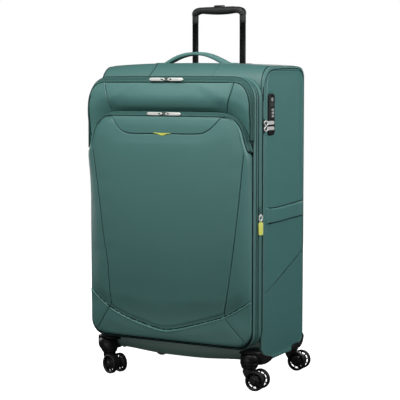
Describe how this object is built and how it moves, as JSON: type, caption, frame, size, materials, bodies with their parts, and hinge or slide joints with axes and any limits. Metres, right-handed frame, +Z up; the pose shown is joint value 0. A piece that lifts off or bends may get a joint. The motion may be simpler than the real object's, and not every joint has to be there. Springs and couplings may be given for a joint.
{
  "type": "softside upright suitcase",
  "caption": "Softside upright suitcase on swivelling twin-wheel casters, with a hinged zip lid that expands, front pockets, a telescopic trolley, top and side handles and a dial lock.",
  "frame": {"origin": "on the floor, under the middle of the whole object's bounding box at rest", "axes": "+Z up; the lid and its pockets face -Y; the side with the lock and the side handle faces +X"},
  "size_m": [0.4736, 0.3339, 0.9315],
  "materials": {
    "fabric": "woven polyester, satin sheen",
    "zip": "nylon coil and tape",
    "plastic": "moulded, fine grain",
    "board": "sheet polypropylene",
    "lock_plastic": "satin black",
    "lock_metal": "satin nickel",
    "tube": "black anodised",
    "tread": "polyurethane tread on nylon hub",
    "steel": "zinc plated",
    "pull_metal": "satin nickel-plated zinc",
    "pull_rubber": "soft moulded, bright yellow"
  },
  "bodies": {
    "case": {"tub_shell": "fabric", "frame_hoop": "steel", "back_board": "board", "base_tray": "board", "main_zip_chain": "zip", "trolley_outer_tubes": "tube", "trolley_bezel": "plastic", "caster_housing_front_right": "plastic", "caster_housing_front_left": "plastic", "caster_housing_back_right": "plastic", "caster_housing_back_left": "plastic", "housing_screws": "steel", "main_zip_sliders": "pull_metal", "lock_body": "lock_plastic", "carry_handle": "fabric", "carry_handle_mounts": "fabric", "side_handle": "fabric"},
    "lid": {"lid_ring": "fabric", "expansion_zip_chain": "zip"},
    "front": {"front_shell": "fabric", "lower_pocket": "fabric", "upper_pocket": "fabric", "pocket_zip_chains": "zip"},
    "slider_upper_left": {"zip_slider_upper_left": "pull_metal"},
    "pull_upper_left": {"zip_pull_upper_left": "pull_metal"},
    "slider_upper_right": {"zip_slider_upper_right": "pull_metal"},
    "pull_upper_right": {"zip_pull_upper_right": "pull_metal"},
    "slider_lower_left": {"zip_slider_lower_left": "pull_metal"},
    "pull_lower_left": {"zip_pull_lower_left": "pull_metal"},
    "slider_lower_right": {"zip_slider_lower_right": "pull_metal"},
    "pull_lower_right": {"zip_pull_lower_right": "pull_metal"},
    "expansion_slider": {"expansion_slider": "pull_metal"},
    "expansion_pull": {"expansion_pull": "pull_rubber"},
    "main_pull_upper": {"main_zip_pull_upper": "pull_metal"},
    "main_pull_lower": {"main_zip_pull_lower": "pull_metal"},
    "dial_1": {"lock_dial_1": "lock_metal"},
    "dial_2": {"lock_dial_2": "lock_metal"},
    "dial_3": {"lock_dial_3": "lock_metal"},
    "lock_button": {"lock_button": "lock_plastic"},
    "lock_key": {"lock_key_cylinder": "lock_metal"},
    "trolley_middle": {"trolley_middle_tubes": "tube"},
    "trolley_inner": {"trolley_inner_tubes": "tube", "trolley_grip": "plastic"},
    "trolley_button": {"trolley_release_button": "plastic"},
    "fork_front_right": {"caster_fork_front_right": "plastic", "caster_axle_front_right": "steel"},
    "wheel_outer_front_right": {"wheel_outer_front_right": "tread"},
    "wheel_inner_front_right": {"wheel_inner_front_right": "tread"},
    "fork_front_left": {"caster_fork_front_left": "plastic", "caster_axle_front_left": "steel"},
    "wheel_outer_front_left": {"wheel_outer_front_left": "tread"},
    "wheel_inner_front_left": {"wheel_inner_front_left": "tread"},
    "fork_back_right": {"caster_fork_back_right": "plastic", "caster_axle_back_right": "steel"},
    "wheel_outer_back_right": {"wheel_outer_back_right": "tread"},
    "wheel_inner_back_right": {"wheel_inner_back_right": "tread"},
    "fork_back_left": {"caster_fork_back_left": "plastic", "caster_axle_back_left": "steel"},
    "wheel_outer_back_left": {"wheel_outer_back_left": "tread"},
    "wheel_inner_back_left": {"wheel_inner_back_left": "tread"}
  },
  "joints": [
    {"name": "lid_hinge", "type": "hinge", "parent": "case", "child": "lid", "pos_m": [-0.23175, -0.09305, 0.42], "axis": [0, 0, -1], "range_deg": [0, 120]},
    {"name": "expansion", "type": "slide", "parent": "lid", "child": "front", "axis": [0, -1, 0], "range_m": [0, 0.04]},
    {"name": "slide_upper_left", "type": "slide", "parent": "front", "child": "slider_upper_left", "axis": [-1, 0, 0], "range_m": [0, 0.13]},
    {"name": "flip_upper_left", "type": "hinge", "parent": "slider_upper_left", "child": "pull_upper_left", "pos_m": [-0.00785, -0.16185, 0.7392], "axis": [0, 0, 1], "range_deg": [0, 150]},
    {"name": "slide_upper_right", "type": "slide", "parent": "front", "child": "slider_upper_right", "axis": [1, 0, 0], "range_m": [0, 0.13]},
    {"name": "flip_upper_right", "type": "hinge", "parent": "slider_upper_right", "child": "pull_upper_right", "pos_m": [0.00245, -0.16185, 0.7392], "axis": [0, 0, -1], "range_deg": [0, 150]},
    {"name": "slide_lower_left", "type": "slide", "parent": "front", "child": "slider_lower_left", "axis": [-1, 0, 0], "range_m": [0, 0.13]},
    {"name": "flip_lower_left", "type": "hinge", "parent": "slider_lower_left", "child": "pull_lower_left", "pos_m": [-0.01235, -0.16595, 0.6572], "axis": [0, 0, 1], "range_deg": [0, 150]},
    {"name": "slide_lower_right", "type": "slide", "parent": "front", "child": "slider_lower_right", "axis": [1, 0, 0], "range_m": [0, 0.13]},
    {"name": "flip_lower_right", "type": "hinge", "parent": "slider_lower_right", "child": "pull_lower_right", "pos_m": [-0.00175, -0.16595, 0.6572], "axis": [0, 0, -1], "range_deg": [0, 150]},
    {"name": "slide_expansion", "type": "slide", "parent": "lid", "child": "expansion_slider", "axis": [0, 0, 1], "range_m": [-0.25, 0.22]},
    {"name": "flip_expansion", "type": "hinge", "parent": "expansion_slider", "child": "expansion_pull", "pos_m": [0.22425, -0.11125, 0.423], "axis": [0, -1, 0], "range_deg": [0, 120]},
    {"name": "flip_main_upper", "type": "hinge", "parent": "case", "child": "main_pull_upper", "pos_m": [0.22355, -0.08705, 0.6362], "axis": [0, 0, -1], "range_deg": [0, 110]},
    {"name": "flip_main_lower", "type": "hinge", "parent": "case", "child": "main_pull_lower", "pos_m": [0.22355, -0.08705, 0.623], "axis": [0, 0, -1], "range_deg": [0, 110]},
    {"name": "turn_dial_1", "type": "hinge", "parent": "case", "child": "dial_1", "pos_m": [0.21645, -0.04465, 0.6669], "axis": [0, 0, 1], "continuous": true},
    {"name": "turn_dial_2", "type": "hinge", "parent": "case", "child": "dial_2", "pos_m": [0.21645, -0.04465, 0.6592], "axis": [0, 0, 1], "continuous": true},
    {"name": "turn_dial_3", "type": "hinge", "parent": "case", "child": "dial_3", "pos_m": [0.21645, -0.04465, 0.6515], "axis": [0, 0, 1], "continuous": true},
    {"name": "press_lock_button", "type": "slide", "parent": "case", "child": "lock_button", "axis": [-1, 0, 0], "range_m": [0, 0.0018], "stiffness_N_per_m": 300},
    {"name": "turn_key", "type": "hinge", "parent": "case", "child": "lock_key", "pos_m": [0.22125, -0.04905, 0.6915], "axis": [1, 0, 0], "range_deg": [0, 90]},
    {"name": "trolley_lower_stage", "type": "slide", "parent": "case", "child": "trolley_middle", "axis": [0, 0, 1], "range_m": [0, 0.155]},
    {"name": "trolley_upper_stage", "type": "slide", "parent": "trolley_middle", "child": "trolley_inner", "axis": [0, 0, 1], "range_m": [-0.15, 0]},
    {"name": "press_trolley_button", "type": "slide", "parent": "trolley_inner", "child": "trolley_button", "axis": [0, 0, -1], "range_m": [0, 0.003], "stiffness_N_per_m": 400},
    {"name": "swivel_front_right", "type": "hinge", "parent": "case", "child": "fork_front_right", "pos_m": [0.19075, -0.10105, 0.05], "axis": [0, 0, 1], "continuous": true},
    {"name": "spin_outer_front_right", "type": "hinge", "parent": "fork_front_right", "child": "wheel_outer_front_right", "pos_m": [0.21275, -0.1168, 0.024], "axis": [0, 1, 0], "continuous": true},
    {"name": "spin_inner_front_right", "type": "hinge", "parent": "fork_front_right", "child": "wheel_inner_front_right", "pos_m": [0.21275, -0.0853, 0.024], "axis": [0, 1, 0], "continuous": true},
    {"name": "swivel_front_left", "type": "hinge", "parent": "case", "child": "fork_front_left", "pos_m": [-0.20425, -0.10105, 0.05], "axis": [0, 0, 1], "continuous": true},
    {"name": "spin_outer_front_left", "type": "hinge", "parent": "fork_front_left", "child": "wheel_outer_front_left", "pos_m": [-0.18896, -0.12337, 0.024], "axis": [0.342, 0.9397, 0], "continuous": true},
    {"name": "spin_inner_front_left", "type": "hinge", "parent": "fork_front_left", "child": "wheel_inner_front_left", "pos_m": [-0.17819, -0.09377, 0.024], "axis": [0.342, 0.9397, 0], "continuous": true},
    {"name": "swivel_back_right", "type": "hinge", "parent": "case", "child": "fork_back_right", "pos_m": [0.19075, 0.14295, 0.05], "axis": [0, 0, 1], "continuous": true},
    {"name": "spin_outer_back_right", "type": "hinge", "parent": "fork_back_right", "child": "wheel_outer_back_right", "pos_m": [0.21275, 0.1587, 0.024], "axis": [0, 1, 0], "continuous": true},
    {"name": "spin_inner_back_right", "type": "hinge", "parent": "fork_back_right", "child": "wheel_inner_back_right", "pos_m": [0.21275, 0.1272, 0.024], "axis": [0, 1, 0], "continuous": true},
    {"name": "swivel_back_left", "type": "hinge", "parent": "case", "child": "fork_back_left", "pos_m": [-0.20425, 0.14295, 0.05], "axis": [0, 0, 1], "continuous": true},
    {"name": "spin_outer_back_left", "type": "hinge", "parent": "fork_back_left", "child": "wheel_outer_back_left", "pos_m": [-0.18225, 0.1587, 0.024], "axis": [0, 1, 0], "continuous": true},
    {"name": "spin_inner_back_left", "type": "hinge", "parent": "fork_back_left", "child": "wheel_inner_back_left", "pos_m": [-0.18225, 0.1272, 0.024], "axis": [0, 1, 0], "continuous": true}
  ]
}
